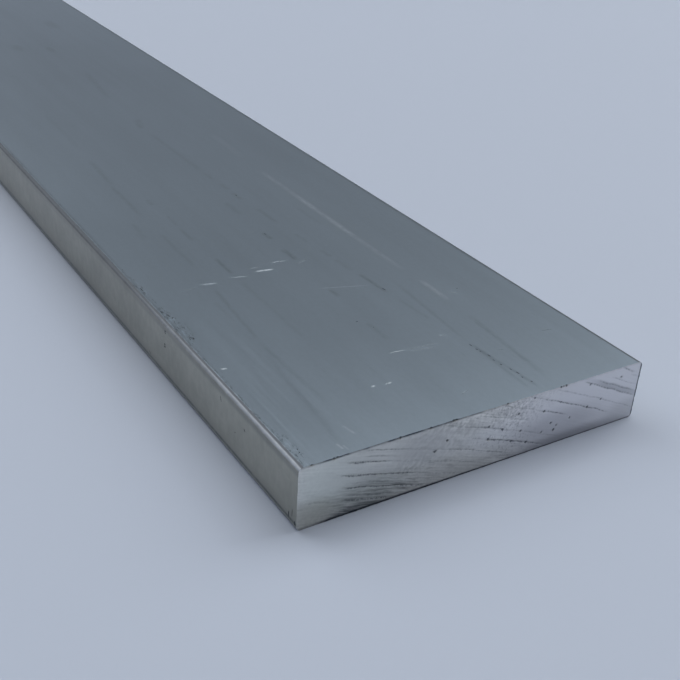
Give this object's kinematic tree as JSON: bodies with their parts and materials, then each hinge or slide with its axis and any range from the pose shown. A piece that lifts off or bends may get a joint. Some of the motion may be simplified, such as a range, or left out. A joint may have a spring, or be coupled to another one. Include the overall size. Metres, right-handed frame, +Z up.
{
  "type": "metal flat bar",
  "caption": "Straight length of extruded aluminium flat bar with lightly rounded long edges and square sawn ends.",
  "frame": {"origin": "centre of the underside, midway along the length and the width", "axes": "+X along the bar, +Y across its width, +Z up through its thickness; the bar lies flat on a broad face"},
  "size_m": [0.3048, 0.0382, 0.0063],
  "materials": {
    "mill_aluminium": "extruded mill finish on the long faces, coarse circular-saw finish on the two ends, uncoated"
  },
  "bodies": {
    "root": {"flat_bar": "mill_aluminium"}
  },
  "joints": []
}
